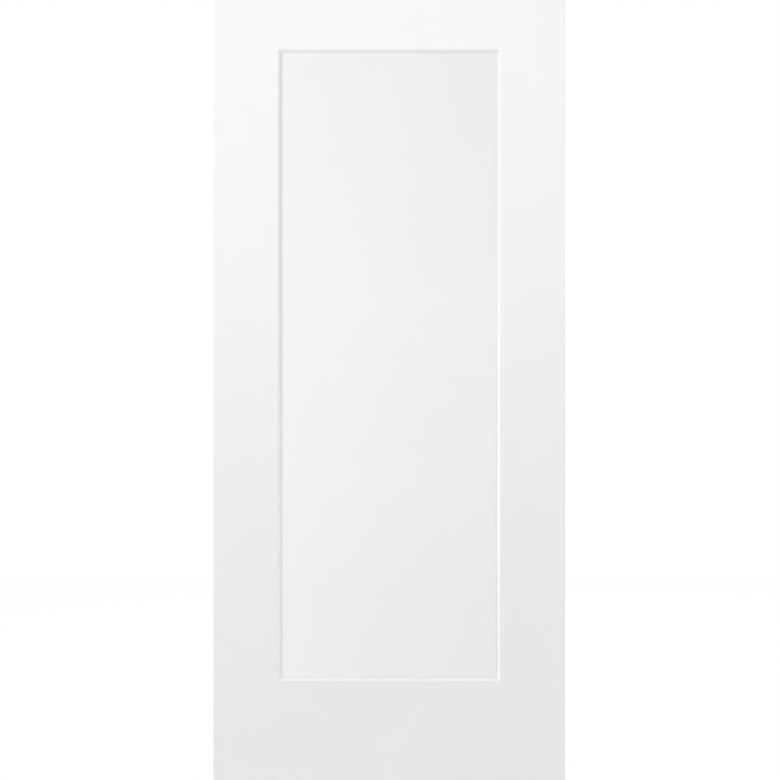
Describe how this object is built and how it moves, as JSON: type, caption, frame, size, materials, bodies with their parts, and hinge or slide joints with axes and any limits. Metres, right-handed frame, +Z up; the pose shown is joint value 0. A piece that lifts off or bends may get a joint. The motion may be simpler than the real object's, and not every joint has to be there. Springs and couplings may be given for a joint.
{
  "type": "shaker door slab",
  "caption": "White primed interior door slab with a flat recessed panel and sloped sticking on each face: pressed facings over a timber edge frame and solid core, hung by its hinge edge.",
  "frame": {"origin": "on the hinge edge's flat face, at mid-thickness and at the bottom edge of the slab", "axes": "+X from the hinge edge to the lock edge, -Y out of the front face, +Z up the door"},
  "size_m": [0.9144, 0.0348, 2.032],
  "materials": {
    "primed_facing": "satin",
    "primed_timber": "satin",
    "bare_timber": "matte",
    "core_board": "matte"
  },
  "bodies": {
    "root": {"front_facing": "primed_facing", "back_facing": "primed_facing", "hinge_stile": "primed_timber", "lock_stile": "primed_timber", "top_rail": "bare_timber", "bottom_rail": "bare_timber", "core": "core_board"}
  },
  "joints": []
}
